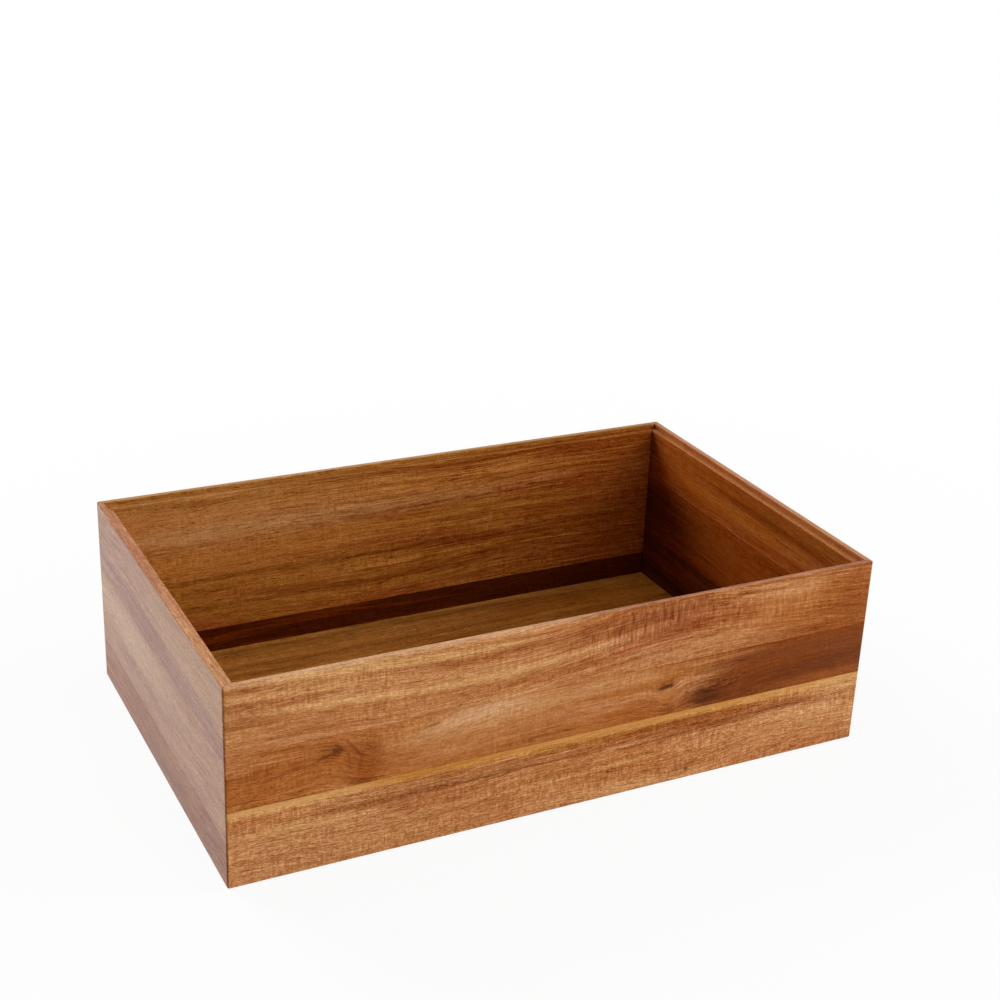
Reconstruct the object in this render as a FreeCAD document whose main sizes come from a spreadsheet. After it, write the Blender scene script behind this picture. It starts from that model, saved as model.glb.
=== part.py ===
import FreeCAD, Part
import math
import os
import Sketcher

# Open storage box of oiled acacia. Each wall is a panel glued up from three staves, with a stepped rim, a
# rebate for the floor and mitred ends that a hidden spline holds together. The floor is five staves.
# Frame: +Z up, +X along the length, the front wall towards -Y, and the origin on the surface that the box
# stands on, under its middle. Millimetres.

SIZES = (
    ("box_length", 400, "outside, along X"),
    ("box_width", 250, "outside, along Y"),
    ("box_height", 120, "from the bottom edge to the rim"),
    ("wall_thickness", 8, "all four walls"),
    ("corner_radius", 1.5, "upright outer corners, rounded after the glue-up"),
    ("rim_lip", 4, "thickness of the wall that is left above the rim's step"),
    ("rim_depth", 3, "depth of the rim's step below the rim"),
    ("rim_ease", 0.6, "rounding of the lip and of the step's inner edge"),
    ("base_ease", 0.8, "rounding of the outer bottom edge"),
    ("floor_thickness", 5, "floor panel"),
    ("floor_recess", 1.2, "floor's underside above the walls' bottom edges"),
    ("floor_housing", 4, "how far the floor's rebate reaches into the walls"),
    ("floor_clearance", 0.2, "room round the floor for the wood to swell"),
    ("floor_ease", 0.5, "chamfer round the floor's underside"),
    ("spline_width", 5, "spline, across the mitre"),
    ("spline_thickness", 1.5, "spline, along the mitre"),
    ("spline_inset", 4.4, "spline's middle from the outer faces"),
    ("spline_cover", 6, "wood above the floor and below the rim's step at the spline's ends"),
    ("spline_clearance", 0.05, "glue gap on each face of a spline and over its end"),
    ("front_lower_joint_share", 0.388, "height of the front wall's lower glue line"),
    ("front_upper_joint_share", 0.6625, "height of the front wall's upper glue line"),
    ("back_lower_joint_share", 0.189, "height of the back wall's lower glue line"),
    ("back_upper_joint_share", 0.7, "height of the back wall's upper glue line"),
    ("left_lower_joint_share", 0.233, "height of the left wall's lower glue line"),
    ("left_upper_joint_share", 0.675, "height of the left wall's upper glue line"),
    ("right_lower_joint_share", 0.325, "height of the right wall's lower glue line"),
    ("right_upper_joint_share", 0.692, "height of the right wall's upper glue line"),
    ("overrun", 2, "how far a cut runs past the wood"),
)

# Each wall, a quarter turn on from the one before it: its length, and where its outer face's middle stands.
WALLS = {
    "front": ("Sizes.box_length", "0", "-Sizes.box_width / 2"),
    "right": ("Sizes.box_width", "Sizes.box_length / 2", "0"),
    "back": ("Sizes.box_length", "0", "Sizes.box_width / 2"),
    "left": ("Sizes.box_width", "-Sizes.box_length / 2", "0"),
}

# Each corner: the signs of its place along X and Y.
CORNERS = {
    "front_left": ("-", "-"),
    "front_right": ("+", "-"),
    "back_right": ("+", "+"),
    "back_left": ("-", "+"),
}

FLOOR_STAVES = ("front", "inner_front", "middle", "inner_back", "back")

# A slab's sizes, the axis each lies on, and the size of the whole box along it.
SLAB_SIDES = (("Length", "x", "box_length"), ("Width", "y", "box_width"), ("Height", "z", "box_height"))

QUARTER_TURN = math.pi / 2
MITRE = QUARTER_TURN / 2
SAME_PLACE = 1e-6
FLOOR_TOP = "Sizes.floor_recess + Sizes.floor_thickness"
FLOOR_MARGIN = "2 * (Sizes.wall_thickness - Sizes.floor_housing + Sizes.floor_clearance)"
FLOOR_LENGTH = f"(Sizes.box_length - {FLOOR_MARGIN})"
FLOOR_WIDTH = f"(Sizes.box_width - {FLOOR_MARGIN})"
SPLINE_FOOT = f"({FLOOR_TOP} + Sizes.spline_cover)"
SPLINE_LENGTH = f"(Sizes.box_height - Sizes.rim_depth - Sizes.spline_cover - {SPLINE_FOOT})"


def make_sheet(doc):
    """The spreadsheet of driving dimensions, one aliased cell each."""
    sheet = doc.addObject("Spreadsheet::Sheet", "Sizes")
    for row, (alias, value, meaning) in enumerate(SIZES, start=1):
        sheet.set(f"A{row}", alias)
        sheet.set(f"B{row}", str(value))
        sheet.set(f"C{row}", meaning)
        sheet.setAlias(f"B{row}", alias)
    doc.recompute()
    return sheet


def turned(angle):
    """A placement at the origin, turned about Z by an angle in radians."""
    up = FreeCAD.Vector(0, 0, 1)
    return FreeCAD.Placement(FreeCAD.Vector(), FreeCAD.Rotation(up, math.degrees(angle)))


def attach_sketch(body, name, role):
    """A new sketch on one of the body's own origin planes."""
    sketch = body.newObject("Sketcher::SketchObject", name)
    plane = next(item for item in body.Origin.OriginFeatures if item.Role == role)
    sketch.AttachmentSupport = [(plane, "")]
    sketch.MapMode = "FlatFace"
    return sketch


def worth(item, expression):
    """What an expression over the sheet is worth now, as a plain number."""
    value = item.evalExpression(expression)
    return float(getattr(value, "Value", value))


def join(sketch, *pairs):
    """Makes points of a sketch coincide: each pair is (geometry, point, geometry, point)."""
    for pair in pairs:
        sketch.addConstraint(Sketcher.Constraint("Coincident", *pair))


def measure(sketch, name, expression, kind, *points):
    """A driving dimension of a sketch, tied to the sheet."""
    index = sketch.addConstraint(Sketcher.Constraint(kind, *points, worth(sketch, expression)))
    sketch.renameConstraint(index, name)
    sketch.setExpression("Constraints." + name, expression)


def add_lines(sketch, points):
    """A closed ring of straight lines through the points; returns the lines' numbers."""
    lines = []
    for start, end in zip(points, points[1:] + points[:1]):
        lines.append(sketch.addGeometry(Part.LineSegment(FreeCAD.Vector(*start), FreeCAD.Vector(*end))))
    for line, following in zip(lines, lines[1:] + lines[:1]):
        join(sketch, (line, 2, following, 1))
    return lines


def add_box_outline(sketch, left, right, top, bottom=None):
    """An upright rectangle between expressions; with no bottom it starts an overrun below the axis."""
    x0, x1, y1 = (worth(sketch, side) for side in (left, right, top))
    y0 = worth(sketch, bottom) if bottom else -worth(sketch, "Sizes.overrun")
    low, right_side, high, left_side = add_lines(sketch, [(x0, y0), (x1, y0), (x1, y1), (x0, y1)])
    for line in (low, high):
        sketch.addConstraint(Sketcher.Constraint("Horizontal", line))
    for line in (right_side, left_side):
        sketch.addConstraint(Sketcher.Constraint("Vertical", line))
    measure(sketch, "left_side", left, "DistanceX", -1, 1, low, 1)
    measure(sketch, "right_side", right, "DistanceX", -1, 1, low, 2)
    measure(sketch, "high_side", top, "DistanceY", -1, 1, high, 1)
    if bottom:
        measure(sketch, "low_side", bottom, "DistanceY", -1, 1, low, 1)
    else:
        measure(sketch, "low_side", "Sizes.overrun", "DistanceY", low, 1, -1, 1)


def add_centred_outline(sketch, width, thickness, turn=0, centre=None):
    """A rectangle about a centre point, turned by an angle; the centre is the origin if none is given."""
    half_width = worth(sketch, width) / 2
    half_thickness = worth(sketch, thickness) / 2
    middle = FreeCAD.Vector(*(worth(sketch, part) for part in centre)) if centre else FreeCAD.Vector()
    spin = turned(turn)
    points = []
    for side, end in ((-1, -1), (1, -1), (1, 1), (-1, 1)):
        corner = middle + spin.multVec(FreeCAD.Vector(side * half_width, end * half_thickness))
        points.append((corner.x, corner.y))
    first, second, third, fourth = add_lines(sketch, points)
    sketch.addConstraint(Sketcher.Constraint("Parallel", first, third))
    sketch.addConstraint(Sketcher.Constraint("Parallel", second, fourth))
    sketch.addConstraint(Sketcher.Constraint("Perpendicular", first, second))
    sketch.addConstraint(Sketcher.Constraint("Angle", first, turn))
    measure(sketch, "width", width, "Distance", first)
    measure(sketch, "thickness", thickness, "Distance", second)
    if centre is None:
        sketch.addConstraint(Sketcher.Constraint("Symmetric", first, 1, third, 1, -1, 1))
        return
    pivot = sketch.addGeometry(Part.Point(middle), True)
    sketch.addConstraint(Sketcher.Constraint("Symmetric", first, 1, third, 1, pivot, 1))
    measure(sketch, "centre_x", centre[0], "DistanceX", -1, 1, pivot, 1)
    measure(sketch, "centre_y", centre[1], "DistanceY", -1, 1, pivot, 1)


def add_wall_plan(sketch, run):
    """A wall from above: outer face on the X axis, mitred ends, half of each rounded corner."""
    half = worth(sketch, run) / 2
    radius = worth(sketch, "Sizes.corner_radius")
    wall = worth(sketch, "Sizes.wall_thickness")
    up = FreeCAD.Vector(0, 0, 1)
    foot = radius * (1 - math.cos(MITRE))
    outer_right, outer_left = FreeCAD.Vector(half - radius), FreeCAD.Vector(radius - half)
    tip_right, tip_left = FreeCAD.Vector(half - foot, foot), FreeCAD.Vector(foot - half, foot)
    inner_right, inner_left = FreeCAD.Vector(half - wall, wall), FreeCAD.Vector(wall - half, wall)
    right_circle = Part.Circle(FreeCAD.Vector(half - radius, radius), up, radius)
    left_circle = Part.Circle(FreeCAD.Vector(radius - half, radius), up, radius)

    outer = sketch.addGeometry(Part.LineSegment(outer_left, outer_right))
    right_round = sketch.addGeometry(Part.ArcOfCircle(right_circle, -QUARTER_TURN, MITRE - QUARTER_TURN))
    right_mitre = sketch.addGeometry(Part.LineSegment(tip_right, inner_right))
    inner = sketch.addGeometry(Part.LineSegment(inner_right, inner_left))
    left_mitre = sketch.addGeometry(Part.LineSegment(inner_left, tip_left))
    left_round = sketch.addGeometry(Part.ArcOfCircle(left_circle, math.pi + MITRE, math.pi + QUARTER_TURN))

    join(sketch, (outer, 2, right_round, 1), (right_round, 2, right_mitre, 1), (right_mitre, 2, inner, 1))
    join(sketch, (inner, 2, left_mitre, 1), (left_mitre, 2, left_round, 1), (left_round, 2, outer, 1))
    sketch.addConstraint(Sketcher.Constraint("PointOnObject", outer, 1, -1))
    sketch.addConstraint(Sketcher.Constraint("Symmetric", outer, 1, outer, 2, -2))
    sketch.addConstraint(Sketcher.Constraint("Symmetric", inner, 1, inner, 2, -2))
    sketch.addConstraint(Sketcher.Constraint("Symmetric", right_round, 2, left_round, 1, -2))
    sketch.addConstraint(Sketcher.Constraint("Equal", right_round, left_round))
    sketch.addConstraint(Sketcher.Constraint("Vertical", outer, 2, right_round, 3))
    sketch.addConstraint(Sketcher.Constraint("PointOnObject", right_round, 3, right_mitre))
    sketch.addConstraint(Sketcher.Constraint("Angle", right_mitre, math.pi - MITRE))
    measure(sketch, "corner_radius", "Sizes.corner_radius", "Radius", right_round)
    measure(sketch, "outer_end", run + " / 2 - Sizes.corner_radius", "DistanceX", -1, 1, outer, 2)
    measure(sketch, "wall_thickness", "Sizes.wall_thickness", "DistanceY", -1, 1, inner, 1)


def pad(body, sketch, name, height):
    """Raises a sketch by a height from the sheet."""
    feature = body.newObject("PartDesign::Pad", name)
    feature.Profile = sketch
    feature.setExpression("Length", height)
    return feature


def cut_along(body, sketch, name):
    """Runs a sketched section through the whole length of a wall."""
    feature = body.newObject("PartDesign::Pocket", name)
    feature.Profile = sketch
    feature.Type = "ThroughAll"
    feature.Midplane = True
    return feature


def edges_where(shape, test):
    """Names of a shape's edges whose end points, and curve, pass a test."""
    names = []
    for number, edge in enumerate(shape.Edges, start=1):
        if test(edge, [vertex.Point for vertex in edge.Vertexes]):
            names.append(f"Edge{number}")
    return names


def runs_along(edge, ends):
    """True of a wall's long edges and of its rounded corners, and not of the ends of its mitres."""
    return isinstance(edge.Curve, Part.Circle) or math.isclose(ends[0].y, ends[-1].y, abs_tol=SAME_PLACE)


def all_at(ends, axis, place):
    """True where every end point has the same coordinate on an axis."""
    return all(math.isclose(getattr(end, axis), place, abs_tol=SAME_PLACE) for end in ends)


def make_wall(doc, side):
    """One wall as a whole panel, before it is divided into staves."""
    run, place_x, place_y = WALLS[side]
    body = doc.addObject("PartDesign::Body", side + "_panel")
    body.Placement = turned(list(WALLS).index(side) * QUARTER_TURN)
    body.setExpression("Placement.Base.x", place_x)
    body.setExpression("Placement.Base.y", place_y)

    plan = attach_sketch(body, side + "_plan", "XY_Plane")
    add_wall_plan(plan, run)
    pad(body, plan, side + "_board", "Sizes.box_height")

    step = attach_sketch(body, side + "_rim_section", "YZ_Plane")
    inside = "Sizes.wall_thickness + Sizes.overrun"
    above = "Sizes.box_height + Sizes.overrun"
    add_box_outline(step, "Sizes.rim_lip", inside, above, "Sizes.box_height - Sizes.rim_depth")
    cut_along(body, step, side + "_rim_step")

    rebate = attach_sketch(body, side + "_rebate_section", "YZ_Plane")
    add_box_outline(rebate, "Sizes.wall_thickness - Sizes.floor_housing", inside, FLOOR_TOP)
    housing = cut_along(body, rebate, side + "_floor_rebate")
    doc.recompute()

    height = worth(body, "Sizes.box_height")
    ledge = worth(body, "Sizes.box_height - Sizes.rim_depth")
    thickness = worth(body, "Sizes.wall_thickness")

    def at_rim(edge, ends):
        on_lip = all_at(ends, "z", height) and runs_along(edge, ends)
        return on_lip or (all_at(ends, "z", ledge) and all_at(ends, "y", thickness))

    rim = body.newObject("PartDesign::Fillet", side + "_rim_ease")
    rim.Base = (housing, edges_where(housing.Shape, at_rim))
    rim.setExpression("Radius", "Sizes.rim_ease")
    doc.recompute()

    def at_base(edge, ends):
        return all_at(ends, "z", 0) and (isinstance(edge.Curve, Part.Circle) or all_at(ends, "y", 0))

    base = body.newObject("PartDesign::Fillet", side + "_base_ease")
    base.Base = (rim, edges_where(rim.Shape, at_base))
    base.setExpression("Radius", "Sizes.base_ease")
    cut_spline_slots(doc, body, side, run)
    return body


def cut_spline_slots(doc, body, side, run):
    """Blind slots in both mitres of a wall: half of each spline goes into either wall."""
    slot = attach_sketch(body, side + "_slot_plan", "XY_Plane")
    slot.setExpression("AttachmentOffset.Base.z", SPLINE_FOOT)
    width = "Sizes.spline_width + 2 * Sizes.spline_clearance"
    thickness = "Sizes.spline_thickness + 2 * Sizes.spline_clearance"
    centre = (run + " / 2 - Sizes.spline_inset", "Sizes.spline_inset")
    add_centred_outline(slot, width, thickness, MITRE, centre)
    pocket = body.newObject("PartDesign::Pocket", side + "_spline_slot")
    pocket.Profile = slot
    pocket.setExpression("Length", SPLINE_LENGTH + " + Sizes.spline_clearance")
    pocket.Reversed = True
    doc.recompute()
    mirrored = body.newObject("PartDesign::Mirrored", side + "_spline_slots")
    mirrored.Originals = [pocket]
    mirrored.MirrorPlane = (slot, ["V_Axis"])
    body.Tip = mirrored


def make_floor(doc):
    """The floor as a whole panel, let into the walls' rebate from below."""
    body = doc.addObject("PartDesign::Body", "floor_panel")
    body.setExpression("Placement.Base.z", "Sizes.floor_recess")
    plan = attach_sketch(body, "floor_plan", "XY_Plane")
    add_centred_outline(plan, FLOOR_LENGTH, FLOOR_WIDTH)
    board = pad(body, plan, "floor_board", "Sizes.floor_thickness")
    doc.recompute()
    ease = body.newObject("PartDesign::Chamfer", "floor_chamfer")
    ease.Base = (board, edges_where(board.Shape, lambda edge, ends: all_at(ends, "z", 0)))
    ease.setExpression("Size", "Sizes.floor_ease")
    return body


def make_spline(doc, corner):
    """A thin loose tongue that bridges the mitre at one corner."""
    sign_x, sign_y = CORNERS[corner]
    body = doc.addObject("PartDesign::Body", corner + "_spline")
    plan = attach_sketch(body, corner + "_spline_plan", "XY_Plane")
    add_centred_outline(plan, "Sizes.spline_width", "Sizes.spline_thickness")
    pad(body, plan, corner + "_spline_strip", SPLINE_LENGTH)
    body.Placement = turned(math.pi - MITRE if sign_x == sign_y else MITRE)
    body.setExpression("Placement.Base.x", f"{sign_x}(Sizes.box_length / 2 - Sizes.spline_inset)")
    body.setExpression("Placement.Base.y", f"{sign_y}(Sizes.box_width / 2 - Sizes.spline_inset)")
    body.setExpression("Placement.Base.z", SPLINE_FOOT)
    return body


def cut_stave(doc, name, panel, axis, low, high):
    """One stave of a panel: what lies between two glue lines across an axis."""
    slab = doc.addObject("Part::Box", name + "_slab")
    for side, across, span in SLAB_SIDES:
        if across == axis:
            slab.setExpression(side, f"({high}) - ({low})")
            slab.setExpression("Placement.Base." + across, low)
        else:
            slab.setExpression(side, f"2 * (Sizes.{span} + Sizes.overrun)")
            slab.setExpression("Placement.Base." + across, f"-(Sizes.{span} + Sizes.overrun)")
    stave = doc.addObject("Part::Common", name)
    stave.Base = panel
    stave.Tool = slab
    return stave


def cut_wall_staves(doc, side, panel):
    """The top, middle and bottom stave of a wall."""
    lower = f"Sizes.{side}_lower_joint_share * Sizes.box_height"
    upper = f"Sizes.{side}_upper_joint_share * Sizes.box_height"
    bottom, top = "-Sizes.overrun", "Sizes.box_height + Sizes.overrun"
    return [
        cut_stave(doc, side + "_bottom_stave", panel, "z", bottom, lower),
        cut_stave(doc, side + "_middle_stave", panel, "z", lower, upper),
        cut_stave(doc, side + "_top_stave", panel, "z", upper, top),
    ]


def cut_floor_staves(doc, panel):
    """The floor's staves, of equal width from front to back."""
    count = len(FLOOR_STAVES)
    lines = [f"{FLOOR_WIDTH} * ({number} / {count} - 1 / 2)" for number in range(count + 1)]
    staves = []
    for place, low, high in zip(FLOOR_STAVES, lines, lines[1:]):
        staves.append(cut_stave(doc, f"floor_{place}_stave", panel, "y", low, high))
    return staves


def check(doc, pieces):
    """Stops before anything is written if a feature failed, a cut missed or a piece isn't one sound solid."""
    for item in doc.Objects:
        if "Invalid" in item.State or "Error" in item.State:
            raise RuntimeError(f"{item.Name} failed: {item.State}")
        if item.TypeId == "Sketcher::SketchObject" and not item.FullyConstrained:
            raise RuntimeError(f"{item.Name} isn't fully constrained")
        if item.TypeId in ("PartDesign::Pocket", "PartDesign::Mirrored"):
            if item.Shape.Volume >= item.BaseFeature.Shape.Volume:
                raise RuntimeError(f"{item.Name} cuts nothing")
    for piece in pieces:
        shape = piece.Shape
        if shape.isNull() or not shape.isValid() or len(shape.Solids) != 1:
            raise RuntimeError(f"{piece.Label} isn't one valid solid")


def main():
    doc = FreeCAD.newDocument("storage_box")
    make_sheet(doc)
    pieces = []
    for side in WALLS:
        pieces += cut_wall_staves(doc, side, make_wall(doc, side))
    pieces += cut_floor_staves(doc, make_floor(doc))
    pieces += [make_spline(doc, corner) for corner in CORNERS]
    doc.recompute()
    check(doc, pieces)
    os.makedirs("parts", exist_ok=True)
    for piece in pieces:
        piece.Shape.exportStep(os.path.join("parts", piece.Label + ".step"))
        box = piece.Shape.BoundBox
        size = f"{box.XLength:.2f} x {box.YLength:.2f} x {box.ZLength:.2f}"
        print(f"{piece.Label}: {piece.Shape.Volume:.0f} mm3, {size}, from z {box.ZMin:.2f}")


main()
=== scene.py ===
from collections import namedtuple
from math import exp

import bpy
from mathutils import Matrix, Vector


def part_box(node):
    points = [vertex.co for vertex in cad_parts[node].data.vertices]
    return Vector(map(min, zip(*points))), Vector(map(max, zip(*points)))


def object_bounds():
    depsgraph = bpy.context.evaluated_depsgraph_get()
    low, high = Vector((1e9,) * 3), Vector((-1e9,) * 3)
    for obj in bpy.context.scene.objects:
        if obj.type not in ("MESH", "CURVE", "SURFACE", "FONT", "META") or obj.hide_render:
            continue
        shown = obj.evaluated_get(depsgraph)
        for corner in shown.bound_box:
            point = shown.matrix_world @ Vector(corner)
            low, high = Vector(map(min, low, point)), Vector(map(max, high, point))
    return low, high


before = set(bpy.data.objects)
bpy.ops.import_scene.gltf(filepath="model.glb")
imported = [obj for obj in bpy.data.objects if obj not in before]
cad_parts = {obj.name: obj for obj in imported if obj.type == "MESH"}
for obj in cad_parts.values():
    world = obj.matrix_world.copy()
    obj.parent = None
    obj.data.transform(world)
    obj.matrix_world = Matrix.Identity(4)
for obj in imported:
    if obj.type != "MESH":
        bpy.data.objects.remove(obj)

# Open storage box of oiled acacia. The imported solids keep their shapes, and this script gives every
# stave the streaks, curl, knots and colours of its own board. Some of these colours are painted shade
# and painted light: at the right end of the back wall, on the right wall, darkest in its back
# corner, and at the back of the floor. Lengths in the wood are millimetres, and in the studio metres.

CAD_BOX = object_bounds()
MM = 1000

# Colours of the wood, from the palest sapwood to the pith of a knot. Some of them are also used
# for painted shade and painted light.
CREAM = "#dcae82"
FLAX = "#d8a468"
SAPWOOD = "#cf9858"
STRAW = "#c78d5a"
GOLD = "#c4833d"
GINGER = "#c27a24"
HONEY = "#ba7948"
OCHRE = "#b2772f"
OLIVE = "#a56c29"
AMBER = "#ad6831"
COPPER = "#a35824"
RUST = "#a9530c"
ROSE = "#97472f"
RUSSET = "#8f4815"
CHESTNUT = "#73350d"
UMBER = "#532408"
# Also paints the shade in the back corner of the right wall
HEARTWOOD_AND_SHADE = "#3a1706"
BARK = "#220e05"
# Colours of the birch splines, from the lines between the plies to their faces
PLY_LINE = "#b9935f"
PLY_FACE = "#dcc193"
# Colours of the studio: its floor, and the plain white that is seen round the box
PAPER = "#f2f2f2"
WHITE = "#ffffff"

# A place where the grain swells: its middle, its reach along and across the grain, and how far the
# grain dips there. With a minus it rises.
Bend = namedtuple("Bend", "along across long wide dip")
# A mark on a board: its middle, half its length and width, its colour, its strength, how soft its
# edge is and how many radians it is turned. Most marks are the wood's own colour, and a few are
# painted shade and painted light.
Mark = namedtuple("Mark", "along across long wide colour strength soft turn",
                  defaults=(0.8, 0.5, 0.0))
# A patch of a board: its middle, half its length and width, and its strength
Patch = namedtuple("Patch", "along across long wide strength")
# One board. Its tones run from its darkest streaks to its palest. Fleck is how strongly its fine
# lines and specks show, ticks how strongly ripples cross its grain, pore how dark its open pores
# are, gloss how much it shines and wander how far its grain strays from straight. Marks follow the
# bent grain; some on the back wall and the floor are painted shade and painted light. Knots don't
# follow it, and neither does the painted shade in the back corner of the right wall, which is
# listed with them. Ripples are strongest in the curls, where the lines along the grain fade, and
# the whole fine figure fades in the calms.
Board = namedtuple(
    "Board", "seed tones fleck ticks bends marks knots curls calms pore gloss wander",
    defaults=(0.25, (), (), (), (), (), 0.3, 1.0, 1.0))
# Lines drawn out along the grain: their length and width, what is added to the board's seed so that
# no two kinds run alike, and the detail and roughness of their noise
Lines = namedtuple("Lines", "length width shift detail roughness", defaults=(0.5,))
# A square softbox: its name, its place, its side, its power in watts and whether the box mirrors it
Lamp = namedtuple("Lamp", "name place side power glints")

# The lines of the figure. Real pores are about 0.2 mm wide and the finest fibres thinner still:
# dashes, specks and pores are drawn coarser than that, so that they show in a picture of the whole
# box.
WANDER = Lines(150, 55, 0.0, 1.0)
STREAKS = Lines(190, 8, 0.1, 5.0, 0.6)
BROAD_BANDS = Lines(130, 16, 0.2, 1.0)
FIBRES = Lines(55, 1.0, 0.3, 3.0, 0.6)
DASHES = Lines(9, 0.6, 0.4, 2.0, 0.6)
PORES = Lines(8, 0.8, 0.5, 1.0)
RIPPLES = Lines(1.2, 7, 0.6, 2.0, 0.6)
RIPPLE_ROWS = Lines(40, 8, 0.7, 2.0)
SPECKS = Lines(2.0, 0.45, 0.9, 1.0, 0.6)
PLIES = Lines(60, 0.8, 0.0, 3.0)
PLY_SEED = 7
# How far the grain wanders along, across and through a board
WANDER_REACH = (0, 22, 9)
# Bends, marks and patches go right through their board
RIGHT_THROUGH = 1e6

# The noise behind the figure lies round its middle, and mostly between faint and strong
FAINT, MIDDLE, STRONG = 0.3, 0.5, 0.7
# Values of the noise between which dashes, pores and rows of ripples come up
DASH_NOISE = (0.36, 0.64)
PORE_NOISE = (0.28, 0.4)
ROW_NOISE = (0.4, 0.65)
# How much streaks and broad bands count in a board's tone, and where its range of tones lies
STREAK_SHARE = 0.7
BAND_SHARE = 0.4
TONE_RANGE = (0.1, 0.3)
# How far fibres and dashes shade a plain board, and how far they and the specks do with its fleck
PLAIN_LINES = 0.03
FLECK_LINES = 0.17
FLECK_SPECKS = 0.3
# Shades of the darkest and the lightest ripples, the strength of curl from which the lines along
# the grain fade, and how far they fade in the strongest
RIPPLE_SHADES = (0.62, 1.55)
FADING_CURL = 0.6
CURL_FADE = 0.5
# Shares of a patch's reach up to which it is full, and from which it is gone
PATCH_EDGE = (0.4, 1.2)
# How far the grain frays the edges of marks and of knots
MARK_FRAY = 3.2
KNOT_FRAY = 1.4
# Glue line and mitre line: the distance up to which the wood is dark, the distance from which it is
# clear, and the shade of the dark
GLUE_LINE = (0.1, 0.5, 0.8)
MITRE_LINE = (0.2, 0.9, 0.66)

# The oil's sheen straight off the surface and along it, and the values of facing between which it
# rises
SHEEN = (0.06, 0.64)
SHEEN_FACING = (0.3, 0.8)
# How much of it dull and silky fibres give, and the faces inside the box
FIBRE_SHEEN = (0.8, 1.2)
INSIDE_SHEEN = 0.35
# Roughness of the oiled surface between the fibres and on them, and of bare plywood
SATIN = (0.38, 0.28)
BARE_PLY = 0.7
OIL_IOR = 1.45
# Strength and depth of the open pores, as a bump
PORE_BUMP = 0.3
PORE_DEPTH = 0.0001

# The studio floor's side, how far it lies under the box, how far from the box's middle its shadow
# fades, and the share of plain white that is seen where the shadow is strongest
FLOOR_SIDE = 12
FLOOR_DROP = 0.0002
SHADOW_REACH = (0.2, 0.8)
SHADOW_WHITE = 0.92
# The box doesn't mirror the lamps behind it and in front of it, because from a low angle their
# glints would turn its rim white
LAMPS = (
    Lamp("back_softbox", (-0.9, 1.6, 1.3), 1.2, 38, False),
    Lamp("front_softbox", (0.5, -2.0, 0.6), 1.2, 22.5, False),
    Lamp("right_softbox", (1.4, -0.5, 1.2), 1.2, 14, True),
    Lamp("top_softbox", (0.0, 0.0, 2.2), 1.5, 10, True),
)
# The photograph's camera: its sensor and lens in millimetres, its place, and the directions of its
# right side and its view
SENSOR = 36
LENS = 62.06
CAMERA_PLACE = (-0.42, -0.849, 0.5468)
CAMERA_RIGHT = (0.8971, -0.4402, 0.0379)
CAMERA_AHEAD = (0.4183, 0.8184, -0.3939)

# Which axes of the box run along a board, across it and through it
BOARD_AXES = {"front": "XZY", "back": "XZY", "left": "YZX", "right": "YZX", "floor": "XYZ"}
SPLINE_AXES = "ZXY"

FRONT_TOP = Board(
    11, (AMBER, AMBER, HONEY, STRAW), 1.0, 0.5,
    bends=(
        Bend(-50, 95, 85, 60, 7),
        Bend(110, 98, 80, 30, -3),
    ),
    marks=(
        Mark(-140, 105, 150, 30, STRAW, 0.6, 0.8),
        Mark(-50, 100, 75, 26, STRAW, 0.45, 0.9),
        Mark(160, 98, 150, 40, AMBER, 0.8, 0.8),
        Mark(55, 104, 60, 18, ROSE, 0.45, 0.8),
        Mark(-140, 117.5, 36, 2.6, FLAX, 0.6),
        Mark(-188, 116, 22, 1.4, RUSSET, 0.5),
        Mark(-160, 110, 45, 1.8, FLAX, 0.35),
        Mark(-180, 106, 35, 2.5, RUSSET, 0.45),
        Mark(-85, 113, 45, 2.2, FLAX, 0.6),
        Mark(-45, 105.5, 45, 2.5, COPPER, 0.4),
        Mark(-70, 108.5, 60, 2.2, RUSSET, 0.5),
        Mark(-188, 97, 25, 4, RUSSET, 0.45),
        Mark(-115, 97.5, 55, 2.6, FLAX, 0.65),
        Mark(-40, 95, 45, 3, FLAX, 0.5),
        Mark(15, 100, 30, 2.2, STRAW, 0.6),
        Mark(-185, 89, 15, 1.2, STRAW, 0.6),
        Mark(-70, 88, 95, 5, COPPER, 0.35),
        Mark(-125, 84, 60, 2.2, COPPER, 0.5),
        Mark(25, 115, 25, 5, COPPER, 0.4),
        Mark(55, 113, 50, 4, CHESTNUT, 0.5),
        Mark(25, 106, 28, 3, RUSSET, 0.45),
        Mark(60, 101, 35, 3.5, RUSSET, 0.4),
        Mark(85, 85, 60, 5, STRAW, 0.6),
        Mark(100, 102.5, 24, 4, RUSSET, 0.45),
        Mark(100, 115, 24, 2.5, RUSSET, 0.5),
        Mark(142, 113, 24, 6, STRAW, 0.6),
        Mark(122, 114.5, 30, 1.2, RUSSET, 0.5),
        Mark(140, 90.5, 26, 3.5, COPPER, 0.6),
        Mark(188, 98, 28, 26, RUSSET, 0.65, 0.7),
        Mark(188, 86, 30, 8, RUSSET, 0.5, 0.7),
        Mark(155, 82, 50, 4, RUSSET, 0.5, 0.8),
    ),
    knots=(
        Mark(-130, 120, 160, 1.6, CREAM, 0.45, 0.3),
        Mark(130, 120, 150, 1.6, RUSSET, 0.5, 0.3),
    ),
    curls=(
        Patch(62, 112, 46, 10, 1.0),
        Patch(34, 105, 40, 9, 0.9),
        Patch(20, 97, 34, 6, 0.6),
        Patch(-140, 108, 60, 13, 0.5),
        Patch(-50, 104, 40, 12, 0.4),
        Patch(130, 103, 60, 14, 0.75),
    ),
    calms=(
        Patch(160, 98, 70, 26, 0.3),
    ),
)
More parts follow.
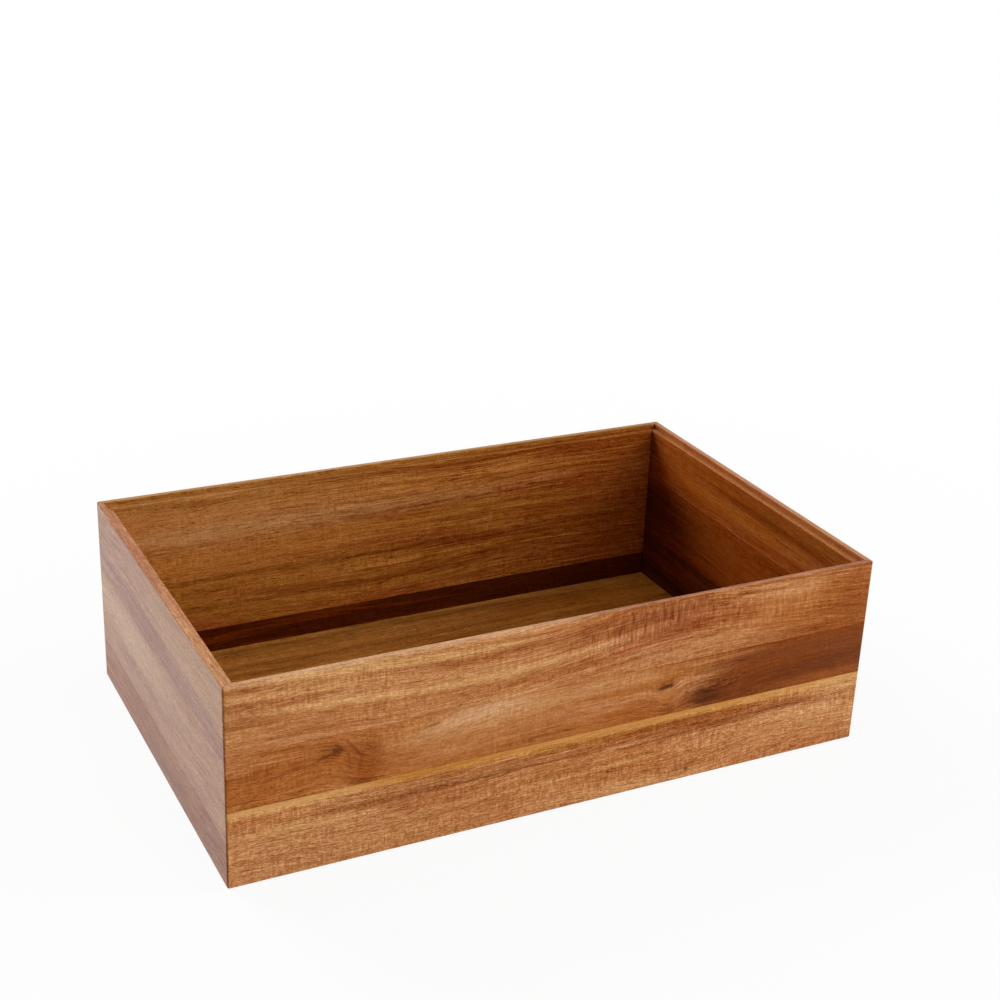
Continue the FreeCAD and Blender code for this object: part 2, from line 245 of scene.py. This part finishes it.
FRONT_MIDDLE = Board(
    23, (AMBER, AMBER, AMBER, HONEY), 0.8, 0.4,
    bends=(
        Bend(-142, 60, 24, 14, -8),
        Bend(-124, 58, 12, 12, 4),
        Bend(-95, 66, 50, 16, 7),
        Bend(61, 64, 9, 5, 3),
        Bend(63, 52, 14, 10, 5),
        Bend(95, 50, 30, 16, 6),
    ),
    marks=(
        Mark(-160, 63, 50, 17, COPPER, 0.6),
        Mark(-48, 72, 56, 9, STRAW, 0.9, 0.6),
        Mark(-55, 75, 30, 3, CREAM, 0.5),
        Mark(25, 75, 34, 5, STRAW, 0.65),
        Mark(-40, 57, 60, 8, HONEY, 0.7),
        Mark(0, 52, 60, 4, AMBER, 0.7),
        Mark(-20, 50.5, 25, 0.9, CHESTNUT, 0.45),
        Mark(45, 54, 20, 8, COPPER, 0.6),
        Mark(-126, 48, 10, 2, CHESTNUT, 0.7),
    ),
    knots=(
        Mark(178, 44, 102, 60, CHESTNUT, 0.9, 0.25),
        Mark(96, 76.5, 30, 2, HONEY, 0.6),
        Mark(150, 80, 70, 5, RUSSET, 0.55, 0.8),
        Mark(165, 58, 45, 7, UMBER, 0.35, 0.9),
        Mark(185, 49, 40, 3.5, COPPER, 0.55, 0.8),
        Mark(140, 66, 40, 3, RUSSET, 0.35, 0.8),
        Mark(-150, 54, 20, 7, AMBER, 0.6),
        Mark(-122, 62, 9, 14, RUSSET, 0.6),
        Mark(-143, 70, 10, 3.5, CHESTNUT, 0.45),
        Mark(-148, 71, 8, 2.2, OLIVE, 0.45, 0.8),
        Mark(-139, 69.5, 3.4, 2.0, UMBER, 0.75, 0.7),
        Mark(-147.5, 66.8, 5, 1, UMBER, 0.5, 0.8, 0.35),
        Mark(-158, 64.6, 6, 1, UMBER, 0.35, 0.8, 0.05),
        Mark(-171, 62.2, 8, 1.1, UMBER, 0.3, 0.8, 0.2),
        Mark(-137, 71, 6, 0.8, CHESTNUT, 0.55, 0.7, -0.8),
        Mark(-132.5, 62.5, 5, 0.8, CHESTNUT, 0.4, 0.7, -1.43),
        Mark(-130, 70, 7, 0.9, CHESTNUT, 0.5, 0.7, -0.9),
        Mark(-126, 58.5, 6.8, 1, CHESTNUT, 0.35, 0.7, -1.8),
        Mark(-192, 65, 16, 1.4, CHESTNUT, 0.35),
        Mark(-188, 50.5, 5, 0.9, CHESTNUT, 0.5, 0.7, 0.5),
        Mark(88, 54, 12, 6, UMBER, 0.7, 0.9),
        Mark(89, 53, 6, 5, BARK, 0.3, 0.9),
        Mark(58, 55, 12, 7, COPPER, 0.45, 0.9),
        Mark(61, 65, 8, 2.5, RUSSET, 0.45, 0.9),
        Mark(61, 64.8, 7, 1.9, UMBER, 0.7, 0.7),
        Mark(59.5, 64.4, 4.5, 1, BARK, 0.5, 0.5, 0.1),
        Mark(64.5, 65, 3.5, 0.9, BARK, 0.4, 0.5, -0.15),
        Mark(62, 58, 4, 5, GINGER, 0.3, 0.8),
        Mark(63, 51, 4, 3.5, CHESTNUT, 0.55, 0.9),
        Mark(75.5, 58.5, 1.2, 0.9, UMBER, 0.7),
    ),
    calms=(
        Patch(165, 62, 70, 26, 0.5),
        Patch(-10, 62, 90, 18, 0.15),
    ),
)
FRONT_BOTTOM = Board(
    37, (COPPER, AMBER, HONEY, STRAW), 1.3, 0.75,
    bends=(
        Bend(-60, 40, 110, 30, 2.5),
        Bend(130, 35, 60, 25, -3),
    ),
    marks=(
        Mark(-170, 13, 140, 24, STRAW, 0.8, 0.8),
        Mark(180, 12, 110, 22, STRAW, 0.4, 0.8),
        Mark(125, 16, 45, 6, STRAW, 0.4),
        Mark(-150, 29, 45, 2, FLAX, 0.4),
        Mark(0, 20, 60, 1.5, FLAX, 0.45),
        Mark(30, 5, 45, 3, FLAX, 0.4),
        Mark(170, 26, 40, 2.2, FLAX, 0.4),
        Mark(-75, 36, 60, 7, RUSSET, 0.5),
        Mark(-80, 26, 32, 4, COPPER, 0.5),
        Mark(-95, 33, 50, 2, CHESTNUT, 0.32),
        Mark(60, 37, 75, 4.5, RUSSET, 0.55),
        Mark(130, 35, 70, 3.5, RUSSET, 0.5),
        Mark(120, 34, 50, 0.9, CHESTNUT, 0.4),
        Mark(192, 36, 22, 6, STRAW, 0.6),
        Mark(-70, 38.5, 25, 2.5, AMBER, 0.5),
    ),
    knots=(
        Mark(0, 44.3, 330, 2.8, GOLD, 0.95, 0.35),
        Mark(-165, 44, 48, 3.2, FLAX, 0.75),
        Mark(-75, 44.5, 32, 3, OCHRE, 0.25),
        Mark(-5, 40.5, 32, 2.2, OCHRE, 0.5),
        Mark(40, 44.8, 75, 2.8, SAPWOOD, 0.5),
        Mark(145, 43.5, 34, 3, SAPWOOD, 0.6),
        Mark(190, 42, 26, 5, FLAX, 0.8),
        Mark(30, 17, 6, 1.2, CHESTNUT, 0.5),
        Mark(80, 6, 2.0, 1.2, UMBER, 0.6),
    ),
    curls=(
        Patch(-80, 33, 60, 6, 0.35),
        Patch(0, 14, 60, 12, 0.7),
        Patch(80, 24, 30, 9, 0.7),
        Patch(90, 8, 60, 8, 0.55),
    ),
    calms=(
        Patch(0, 46, 600, 4, 0.6),
    ),
)
BACK_TOP = Board(
    41, (OCHRE, GOLD, GOLD, GOLD), 0.9, 0.45,
    marks=(
        Mark(-130, 100, 130, 30, STRAW, 0.5, 0.9),
        Mark(0, 112, 320, 6, OLIVE, 0.5, 0.8),
        Mark(0, 91, 320, 5.5, FLAX, 0.45, 0.8),
        # Painted shade: these two marks darken and redden the back wall towards its right corner
        Mark(180, 105, 150, 80, RUSSET, 0.95, 0.9),
        Mark(150, 112, 110, 8, CHESTNUT, 0.2, 0.9),
    ),
    knots=(
        Mark(0, 119.5, 260, 2.2, OLIVE, 0.8, 0.2),
    ),
    pore=0.5, wander=0.6,
)
BACK_MIDDLE = Board(
    53, (AMBER, OCHRE, OCHRE, GOLD), 0.95, 0.45,
    marks=(
        Mark(-120, 72, 110, 12, GOLD, 0.8, 0.8),
        Mark(-150, 86, 100, 6, STRAW, 0.5, 0.9),
        # Painted shade: these two marks darken and redden the back wall towards its right corner
        Mark(190, 60, 150, 80, RUSSET, 0.85, 0.9),
        Mark(170, 56, 120, 14, CHESTNUT, 0.25, 0.9),
        Mark(0, 58.5, 260, 2.2, CHESTNUT, 0.45),
        Mark(-60, 38.5, 120, 1.8, CHESTNUT, 0.45),
    ),
    pore=0.5, wander=0.6,
)
BACK_BOTTOM = Board(67, (UMBER, UMBER, UMBER, UMBER, CHESTNUT), 0.5)
LEFT_TOP = Board(
    71, (HONEY, HONEY, HONEY, STRAW), 1.1, 0.4,
    marks=(
        Mark(100, 108, 70, 18, COPPER, 0.5, 0.8),
        Mark(-90, 108, 90, 20, STRAW, 0.6, 0.8),
        Mark(0, 86, 170, 6, ROSE, 0.75, 0.8),
    ),
    knots=(
        Mark(60, 119.8, 70, 1.6, COPPER, 0.6, 0.3),
    ),
)
LEFT_MIDDLE = Board(
    83, (HONEY, HONEY, HONEY, STRAW), 1.1, 0.4,
    marks=(
        Mark(65, 61, 90, 11, CREAM, 0.7, 0.9),
        Mark(15, 44, 60, 4, ROSE, 0.4, 0.8),
        Mark(0, 79, 170, 4, ROSE, 0.65, 0.8),
    ),
)
LEFT_BOTTOM = Board(97, (RUSSET, COPPER, COPPER, AMBER), 1.0, 0.4, gloss=0.52)
RIGHT_TOP = Board(
    101, (COPPER, COPPER, AMBER, AMBER), 0.6,
    marks=(
        Mark(-40, 109, 130, 6, OLIVE, 0.4, 0.9),
        Mark(70, 100, 90, 26, RUST, 0.65, 0.9),
        Mark(20, 88, 90, 3, RUSSET, 0.5, 0.8),
        Mark(0, 119.2, 260, 2.4, HONEY, 0.6, 0.2),
        Mark(-30, 106, 60, 2.4, CHESTNUT, 0.5, 0.7),
        Mark(5, 97, 70, 4, GINGER, 0.4, 0.8),
    ),
    knots=(
        # Painted shade in the back corner, where the back wall shades the right wall
        Mark(128, 96, 20, 26, UMBER, 0.7, 0.9),
    ),
)
RIGHT_MIDDLE = Board(
    # Its dark tones are partly the wood's own and partly painted shade
    113, (CHESTNUT, RUSSET, RUSSET, RUSSET), 0.6,
    knots=(
        # Painted shade in the back corner, where the back wall shades the right wall
        Mark(122, 58, 54, 30, HEARTWOOD_AND_SHADE, 0.8, 0.9),
    ),
)
# The right wall gets darker towards the bottom, and this stave is its darkest
RIGHT_BOTTOM = Board(127, (HEARTWOOD_AND_SHADE, UMBER, UMBER, CHESTNUT), 0.5)
FLOOR_FRONT = Board(131, (COPPER, AMBER, AMBER, HONEY), 0.8)
FLOOR_INNER_FRONT = Board(139, (OLIVE, OCHRE, GOLD, GOLD), 0.8, pore=0.4)
FLOOR_MIDDLE = Board(149, (RUSSET, COPPER, COPPER, AMBER), 0.8)
FLOOR_INNER_BACK = Board(151, (OLIVE, OCHRE, GOLD, SAPWOOD), 0.8)
FLOOR_BACK = Board(
    163, (RUSSET, OLIVE, OCHRE, GOLD), 1.0, 0.5,
    marks=(
        # Painted light: the floor is lighter and redder at its right end, next to the right wall
        Mark(182, 98, 80, 60, GINGER, 0.75, 0.8),
        Mark(-10, 109.5, 115, 4.5, CHESTNUT, 0.4, 0.8),
        Mark(-50, 96, 95, 6.5, GOLD, 0.55, 0.8),
        Mark(-20, 101, 130, 3, RUSSET, 0.25),
        Mark(-60, 86, 160, 4, CHESTNUT, 0.3),
        Mark(0, 80, 320, 4, RUSSET, 0.4, 0.8),
        Mark(85, 105, 70, 4, CHESTNUT, 0.35, 0.8, -0.06),
        # Painted highlight along the floor's back edge
        Mark(110, 113.5, 100, 3, GOLD, 0.85, 0.5, -0.03),
    ),
    pore=0.5,
)

BOARDS = {
    "front_top_stave": FRONT_TOP,
    "front_middle_stave": FRONT_MIDDLE,
    "front_bottom_stave": FRONT_BOTTOM,
    "back_top_stave": BACK_TOP,
    "back_middle_stave": BACK_MIDDLE,
    "back_bottom_stave": BACK_BOTTOM,
    "left_top_stave": LEFT_TOP,
    "left_middle_stave": LEFT_MIDDLE,
    "left_bottom_stave": LEFT_BOTTOM,
    "right_top_stave": RIGHT_TOP,
    "right_middle_stave": RIGHT_MIDDLE,
    "right_bottom_stave": RIGHT_BOTTOM,
    "floor_front_stave": FLOOR_FRONT,
    "floor_inner_front_stave": FLOOR_INNER_FRONT,
    "floor_middle_stave": FLOOR_MIDDLE,
    "floor_inner_back_stave": FLOOR_INNER_BACK,
    "floor_back_stave": FLOOR_BACK,
}


def linear(hex_colour):
    """A colour written as sRGB hex, as linear red, green, blue and alpha."""
    parts = [int(hex_colour[i:i + 2], 16) / 255 for i in (1, 3, 5)]
    return (*(p / 12.92 if p <= 0.04045 else ((p + 0.055) / 1.055) ** 2.4 for p in parts), 1.0)


def add_node(tree, kind, sockets=None, **settings):
    """Adds a shader node with its settings, and fills its sockets with values or with outputs.

    A Map Range takes the value at socket 0 from the range at 1 and 2 to the range at 3 and 4. A Mix
    goes by the share at 0 from 2 to 3 for numbers, and from 6 to 7 for colours.
    """
    made = tree.nodes.new("ShaderNode" + kind)
    for name, value in settings.items():
        setattr(made, name, value)
    for name, value in (sockets or {}).items():
        if isinstance(value, bpy.types.NodeSocket):
            tree.links.new(value, made.inputs[name])
        else:
            made.inputs[name].default_value = value
    return made


def new_material(name):
    """An empty node material; returns it and its node tree."""
    material = bpy.data.materials.new(name)
    material.use_nodes = True
    material.node_tree.nodes.clear()
    return material, material.node_tree


def board_space(tree, axes):
    """Object coordinates in millimetres, with X along the board, Y across it and Z through it."""
    place = add_node(tree, "TexCoord").outputs["Object"]
    parts = add_node(tree, "SeparateXYZ", {0: place})
    sockets = {i: parts.outputs[axis] for i, axis in enumerate(axes)}
    turned = add_node(tree, "CombineXYZ", sockets).outputs[0]
    return add_node(tree, "VectorMath", {0: turned, 1: (MM,) * 3}, operation="MULTIPLY").outputs[0]


def grain_lines(tree, grain, seed, lines):
    """Soft lines drawn out along the grain."""
    stretch = (1 / lines.length, 1 / lines.width, 1 / lines.width)
    drawn = add_node(tree, "VectorMath", {0: grain, 1: stretch}, operation="MULTIPLY").outputs[0]
    sockets = {"Vector": drawn, "W": seed + lines.shift, "Scale": 1.0, "Detail": lines.detail,
               "Roughness": lines.roughness}
    return add_node(tree, "TexNoise", sockets, noise_dimensions="4D").outputs["Fac"]


def from_middle(tree, place, spot, dip=0.0, turn=0.0):
    """The place seen from a spot's middle, in units of its half length and half width."""
    sockets = {"Vector": place, "Location": (spot.along, spot.across + dip, 0),
               "Rotation": (0, 0, turn), "Scale": (spot.long, spot.wide, RIGHT_THROUGH)}
    return add_node(tree, "Mapping", sockets, vector_type="TEXTURE").outputs[0]


def dip_at(board, spot):
    """How far a board's bends dip the grain at the middle of a spot."""
    dip = 0.0
    for bend in board.bends:
        along = (spot.along - bend.along) / bend.long
        across = (spot.across - bend.across) / bend.wide
        dip += bend.dip * exp(-(along ** 2 + across ** 2))
    return dip


def bend_grain(tree, place, board):
    """Dips the grain at each bend, so that it flows round a knot and closes into an eye."""
    grain = place
    for bend in board.bends:
        away = from_middle(tree, place, bend)
        square = add_node(tree, "VectorMath", {0: away, 1: away}, operation="DOT_PRODUCT")
        sockets = {0: square.outputs["Value"], 1: -1.0}
        falling = add_node(tree, "Math", sockets, operation="MULTIPLY").outputs[0]
        swell = add_node(tree, "Math", {0: falling}, operation="EXPONENT").outputs[0]
        sockets = {0: swell, 1: (0, bend.dip, 0), 2: grain}
        grain = add_node(tree, "VectorMath", sockets, operation="MULTIPLY_ADD").outputs[0]
    return grain


def draw_marks(tree, place, colour, marks, dips, frayed, fray):
    """Lays marks over a board's colour, each with an edge that frays along the grain."""
    for mark, dip in zip(marks, dips):
        away = from_middle(tree, place, mark, dip, mark.turn)
        reach = add_node(tree, "VectorMath", {0: away}, operation="LENGTH").outputs["Value"]
        sockets = {0: frayed, 1: fray * mark.soft, 2: reach}
        ragged = add_node(tree, "Math", sockets, operation="MULTIPLY_ADD").outputs[0]
        sockets = {0: ragged, 1: 1 - mark.soft, 2: 1 + mark.soft, 3: mark.strength, 4: 0.0}
        cover = add_node(tree, "MapRange", sockets, interpolation_type="SMOOTHSTEP").outputs[0]
        sockets = {0: cover, 6: colour, 7: linear(mark.colour)}
        colour = add_node(tree, "Mix", sockets, data_type="RGBA").outputs[2]
    return colour


def patch_strength(tree, place, patches, strength):
    """The greatest strength of the patches that cover a place, and elsewhere the strength given."""
    full, gone = PATCH_EDGE
    for patch in patches:
        away = from_middle(tree, place, patch)
        reach = add_node(tree, "VectorMath", {0: away}, operation="LENGTH").outputs["Value"]
        sockets = {0: reach, 1: full, 2: gone, 3: patch.strength, 4: 0.0}
        cover = add_node(tree, "MapRange", sockets, interpolation_type="SMOOTHSTEP").outputs[0]
        strength = add_node(tree, "Math", {0: strength, 1: cover}, operation="MAXIMUM").outputs[0]
    return strength


def line_shade(tree, grain, fibres, pores, board):
    """Shading of the fine lines along the grain: fibres, dashes, specks and open pores."""
    dashes = grain_lines(tree, grain, board.seed, DASHES)
    specks = grain_lines(tree, grain, board.seed, SPECKS)
    line = PLAIN_LINES + FLECK_LINES * board.fleck
    speck = FLECK_SPECKS * board.fleck
    shade = 1.0
    for lines, (low, high), dark, light in (
            (fibres, (FAINT, STRONG), 1 - line, 1 + line),
            (dashes, DASH_NOISE, 1 - line, 1 + line),
            (specks, (FAINT, STRONG), 1 - speck, 1 + speck),
            (pores, PORE_NOISE, 1 - board.pore, 1.0)):
        sockets = {0: lines, 1: low, 2: high, 3: dark, 4: light}
        tint = add_node(tree, "MapRange", sockets).outputs[0]
        shade = add_node(tree, "Math", {0: shade, 1: tint}, operation="MULTIPLY").outputs[0]
    return shade


def curl_shade(tree, place, shade, board):
    """Crosses the grain with short ripples: faint in rows all over, and strong in the curls."""
    rows = grain_lines(tree, place, board.seed, RIPPLE_ROWS)
    sockets = {0: rows, 1: ROW_NOISE[0], 2: ROW_NOISE[1], 4: board.ticks}
    rows = add_node(tree, "MapRange", sockets).outputs[0]
    curl = patch_strength(tree, place, board.curls, rows)
    fade = add_node(tree, "MapRange", {0: curl, 1: FADING_CURL, 2: 1.0, 4: CURL_FADE}).outputs[0]
    shade = add_node(tree, "Mix", {0: fade, 2: shade, 3: 1.0}, data_type="FLOAT").outputs[0]
    ripples = grain_lines(tree, place, board.seed, RIPPLES)
    dark, light = RIPPLE_SHADES
    sockets = {0: ripples, 1: FAINT, 2: STRONG, 3: dark, 4: light}
    ripples = add_node(tree, "MapRange", sockets).outputs[0]
    ripples = add_node(tree, "Mix", {0: curl, 2: 1.0, 3: ripples}, data_type="FLOAT").outputs[0]
    return add_node(tree, "Math", {0: shade, 1: ripples}, operation="MULTIPLY").outputs[0]


def fine_figure(tree, place, grain, fibres, pores, board):
    """Shading of the fine figure, lines and curl, which fades in the board's calms."""
    shade = line_shade(tree, grain, fibres, pores, board)
    shade = curl_shade(tree, place, shade, board)
    if board.calms:
        calm = patch_strength(tree, place, board.calms, 0.0)
        shade = add_node(tree, "Mix", {0: calm, 2: shade, 3: 1.0}, data_type="FLOAT").outputs[0]
    return shade


def darken_near(tree, shade, away, line):
    """Darkens the shading where the distance from a joint is small."""
    dark_to, clear_from, dark = line
    sockets = {0: away, 1: dark_to, 2: clear_from, 3: dark, 4: 1.0}
    glue = add_node(tree, "MapRange", sockets).outputs[0]
    return add_node(tree, "Math", {0: shade, 1: glue}, operation="MULTIPLY").outputs[0]


def joint_lines(tree, place, shade, joints, mitre):
    """Thin dark lines where a board meets its neighbours, and at its mitred ends."""
    along, across, through = add_node(tree, "SeparateXYZ", {0: place}).outputs
    for joint in joints:
        away = add_node(tree, "Math", {0: across, 1: joint}, operation="SUBTRACT").outputs[0]
        away = add_node(tree, "Math", {0: away}, operation="ABSOLUTE").outputs[0]
        shade = darken_near(tree, shade, away, GLUE_LINE)
    if mitre is not None:
        along = add_node(tree, "Math", {0: along}, operation="ABSOLUTE").outputs[0]
        through = add_node(tree, "Math", {0: through}, operation="ABSOLUTE").outputs[0]
        away = add_node(tree, "Math", {0: through, 1: along}, operation="SUBTRACT").outputs[0]
        away = add_node(tree, "Math", {0: away, 1: mitre}, operation="ADD").outputs[0]
        shade = darken_near(tree, shade, away, MITRE_LINE)
    return shade


def board_colour(tree, place, bent, grain, fibres, board):
    """The colour of streaks and bands, with marks over them, some of them painted shade and light."""
    streaks = grain_lines(tree, grain, board.seed, STREAKS)
    bands = grain_lines(tree, grain, board.seed, BROAD_BANDS)
    sockets = {0: streaks, 1: STREAK_SHARE, 2: -MIDDLE * STREAK_SHARE}
    tone = add_node(tree, "Math", sockets, operation="MULTIPLY_ADD").outputs[0]
    sockets = {0: bands, 1: BAND_SHARE, 2: tone}
    tone = add_node(tree, "Math", sockets, operation="MULTIPLY_ADD").outputs[0]
    darkest, palest = TONE_RANGE
    tone = add_node(tree, "MapRange", {0: tone, 1: darkest, 2: palest}).outputs[0]
    ramp = add_node(tree, "ValToRGB", {0: tone})
    stops = ramp.color_ramp.elements
    while len(stops) < len(board.tones):
        stops.new(1.0)
    for i, (stop, tint) in enumerate(zip(stops, board.tones)):
        stop.position = i / (len(board.tones) - 1)
        stop.color = linear(tint)
    frayed = add_node(tree, "Math", {0: streaks, 1: fibres}, operation="ADD").outputs[0]
    frayed = add_node(tree, "Math", {0: frayed, 1: 2 * MIDDLE}, operation="SUBTRACT").outputs[0]
    colour = ramp.outputs["Color"]
    dips = [dip_at(board, mark) for mark in board.marks]
    colour = draw_marks(tree, bent, colour, board.marks, dips, frayed, MARK_FRAY)
    level = [0.0] * len(board.knots)
    return draw_marks(tree, place, colour, board.knots, level, frayed, KNOT_FRAY)


def deepen(tree, colour, shade):
    """Half of the shading darkens the colour evenly and half deepens it, as wet wood does."""
    half = add_node(tree, "Math", {0: shade, 1: 0.5}, operation="POWER").outputs[0]
    gamma = add_node(tree, "Math", {0: 1.0, 1: half}, operation="DIVIDE").outputs[0]
    colour = add_node(tree, "Gamma", {"Color": colour, "Gamma": gamma}).outputs[0]
    return add_node(tree, "VectorMath", {0: colour, "Scale": half}, operation="SCALE").outputs[0]


def oil_sheen(tree, place, fibres, board, faces):
    """How much light the oil throws back: more along the surface, and less inside the box."""
    facing = add_node(tree, "LayerWeight").outputs["Facing"]
    sockets = {0: facing, 1: SHEEN_FACING[0], 2: SHEEN_FACING[1], 3: SHEEN[0], 4: SHEEN[1]}
    sheen = add_node(tree, "MapRange", sockets).outputs[0]
    dull, silky = (share * board.gloss for share in FIBRE_SHEEN)
    sockets = {0: fibres, 1: FAINT, 2: STRONG, 3: dull, 4: silky}
    gloss = add_node(tree, "MapRange", sockets).outputs[0]
    sheen = add_node(tree, "Math", {0: sheen, 1: gloss}, operation="MULTIPLY").outputs[0]
    if faces:
        inside, outside = faces
        through = add_node(tree, "SeparateXYZ", {0: place}).outputs[2]
        depth = add_node(tree, "Math", {0: through}, operation="ABSOLUTE").outputs[0]
        sockets = {0: depth, 1: inside, 2: outside, 3: INSIDE_SHEEN, 4: 1.0}
        share = add_node(tree, "MapRange", sockets).outputs[0]
        sheen = add_node(tree, "Math", {0: sheen, 1: share}, operation="MULTIPLY").outputs[0]
    return sheen


def acacia(name, axes, board, joints, mitre, faces):
    """Sanded, oiled acacia: long streaks, open pores, a curl across the grain and a satin surface.

    Joints are where its glue lines lie across the board, mitre is how much further along than
    through the box its mitred ends lie, and faces are its inner and outer depth. A floor board has
    no mitre and no faces.
    """
    material, tree = new_material(name)
    place = board_space(tree, axes)
    bent = bend_grain(tree, place, board)
    wander = grain_lines(tree, place, board.seed, WANDER)
    wander = add_node(tree, "Math", {0: wander, 1: MIDDLE}, operation="SUBTRACT").outputs[0]
    reach = [board.wander * length for length in WANDER_REACH]
    sockets = {0: wander, 1: reach, 2: bent}
    grain = add_node(tree, "VectorMath", sockets, operation="MULTIPLY_ADD").outputs[0]
    fibres = grain_lines(tree, grain, board.seed, FIBRES)
    pores = grain_lines(tree, grain, board.seed, PORES)

    shade = fine_figure(tree, place, grain, fibres, pores, board)
    shade = joint_lines(tree, place, shade, joints, mitre)
    colour = deepen(tree, board_colour(tree, place, bent, grain, fibres, board), shade)
    sheen = oil_sheen(tree, place, fibres, board, faces)
    sockets = {0: fibres, 1: FAINT, 2: STRONG, 3: SATIN[0], 4: SATIN[1]}
    satin = add_node(tree, "MapRange", sockets).outputs[0]
    sockets = {"Strength": PORE_BUMP, "Distance": PORE_DEPTH, "Height": pores}
    open_grain = add_node(tree, "Bump", sockets).outputs[0]
    sockets = {"Base Color": colour, "Roughness": satin, "Normal": open_grain, "IOR": OIL_IOR,
               "Specular IOR Level": sheen}
    surface = add_node(tree, "BsdfPrincipled", sockets)
    add_node(tree, "OutputMaterial", {"Surface": surface.outputs[0]})
    return material


def birch_ply():
    """Thin birch plywood, bare: pale, with the plies' fine lines."""
    material, tree = new_material("birch_ply")
    lines = grain_lines(tree, board_space(tree, SPLINE_AXES), PLY_SEED, PLIES)
    ramp = add_node(tree, "ValToRGB", {0: lines})
    for stop, tint in zip(ramp.color_ramp.elements, (PLY_LINE, PLY_FACE)):
        stop.color = linear(tint)
    sockets = {"Base Color": ramp.outputs["Color"], "Roughness": BARE_PLY}
    surface = add_node(tree, "BsdfPrincipled", sockets)
    add_node(tree, "OutputMaterial", {"Surface": surface.outputs[0]})
    return material


def dress_stave(name):
    """The acacia of one stave, with a glue line at each edge that meets a stave of its panel."""
    panel = name.split("_")[0]
    along, across, through = ("XYZ".index(axis) for axis in BOARD_AXES[panel])
    staves = [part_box(other) for other in BOARDS if other.startswith(panel)]
    outer = {round(MM * min(low[across] for low, high in staves), 1),
             round(MM * max(high[across] for low, high in staves), 1)}
    joints = {round(MM * corner[across], 1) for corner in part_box(name)} - outer
    mitre, faces = None, None
    if panel != "floor":
        mitre = MM * (CAD_BOX[1][along] - CAD_BOX[1][through])
        faces = sorted(MM * abs(corner[through]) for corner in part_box(name))
    finish = "oiled_acacia_" + name
    return acacia(finish, BOARD_AXES[panel], BOARDS[name], sorted(joints), mitre, faces)


def dress_box():
    """Gives every stave and spline its finish."""
    ply = birch_ply()
    for name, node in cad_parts.items():
        node.data.materials.clear()
        node.data.materials.append(dress_stave(name) if name in BOARDS else ply)


def seen_directly(tree):
    """1 where the camera, a mirror or a view through glass looks, and 0 for light that fills."""
    path = add_node(tree, "LightPath").outputs
    sockets = {0: path["Is Camera Ray"], 1: path["Is Glossy Ray"]}
    seen = add_node(tree, "Math", sockets, operation="MAXIMUM").outputs[0]
    sockets = {0: seen, 1: path["Is Transmission Ray"]}
    return add_node(tree, "Math", sockets, operation="MAXIMUM").outputs[0]


def paper_white():
    """Matt white paper: plain white where it is seen, with a soft shadow close to the box."""
    material, tree = new_material("matt_white_paper")
    place = add_node(tree, "TexCoord").outputs["Object"]
    reach = add_node(tree, "VectorMath", {0: place}, operation="LENGTH").outputs["Value"]
    near, far = SHADOW_REACH
    sockets = {0: reach, 1: near, 2: far, 3: SHADOW_WHITE, 4: 1.0}
    share = add_node(tree, "MapRange", sockets, interpolation_type="SMOOTHSTEP").outputs[0]
    sockets = {0: seen_directly(tree), 1: share}
    share = add_node(tree, "Math", sockets, operation="MULTIPLY").outputs[0]
    matt = add_node(tree, "BsdfDiffuse", {"Color": linear(PAPER)}).outputs[0]
    white = add_node(tree, "Emission", {"Color": linear(WHITE), "Strength": 1.0}).outputs[0]
    mixed = add_node(tree, "MixShader", {0: share, 1: matt, 2: white})
    add_node(tree, "OutputMaterial", {"Surface": mixed.outputs[0]})
    return material


def lay_floor():
    """A wide pale floor just under the box."""
    bpy.ops.mesh.primitive_plane_add(size=FLOOR_SIDE, location=(0, 0, -FLOOR_DROP))
    floor = bpy.context.object
    floor.name = "studio_floor"
    floor.data.materials.append(paper_white())


def white_world():
    """White surroundings where they are seen or reflected, which give no light of their own."""
    world = bpy.data.worlds.new("white_studio")
    bpy.context.scene.world = world
    world.use_nodes = True
    tree = world.node_tree
    tree.nodes.clear()
    sky = add_node(tree, "Background", {"Color": linear(WHITE), "Strength": seen_directly(tree)})
    add_node(tree, "OutputWorld", {"Surface": sky.outputs[0]})


def hang_lamp(lamp):
    """A softbox at its place, turned towards the middle of the box."""
    light = bpy.data.lights.new(lamp.name, "AREA")
    light.shape = "SQUARE"
    light.size = lamp.side
    light.energy = lamp.power
    middle = (Vector(CAD_BOX[0]) + Vector(CAD_BOX[1])) / 2
    holder = bpy.data.objects.new(lamp.name, light)
    holder.location = lamp.place
    holder.rotation_euler = (middle - Vector(lamp.place)).to_track_quat("-Z", "Y").to_euler()
    holder.visible_glossy = lamp.glints
    bpy.context.scene.collection.objects.link(holder)


def set_camera():
    """The photograph's view, from the front left and above."""
    camera = bpy.data.cameras.new("camera")
    camera.sensor_width = SENSOR
    camera.lens = LENS
    holder = bpy.data.objects.new("camera", camera)
    right = Vector(CAMERA_RIGHT).normalized()
    ahead = Vector(CAMERA_AHEAD).normalized()
    turn = Matrix((right, right.cross(ahead), -ahead)).transposed().to_4x4()
    holder.matrix_world = Matrix.Translation(CAMERA_PLACE) @ turn
    bpy.context.scene.collection.objects.link(holder)
    bpy.context.scene.camera = holder


def main():
    """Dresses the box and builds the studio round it."""
    bpy.context.scene.view_settings.view_transform = "Standard"
    dress_box()
    lay_floor()
    white_world()
    for lamp in LAMPS:
        hang_lamp(lamp)
    set_camera()


main()
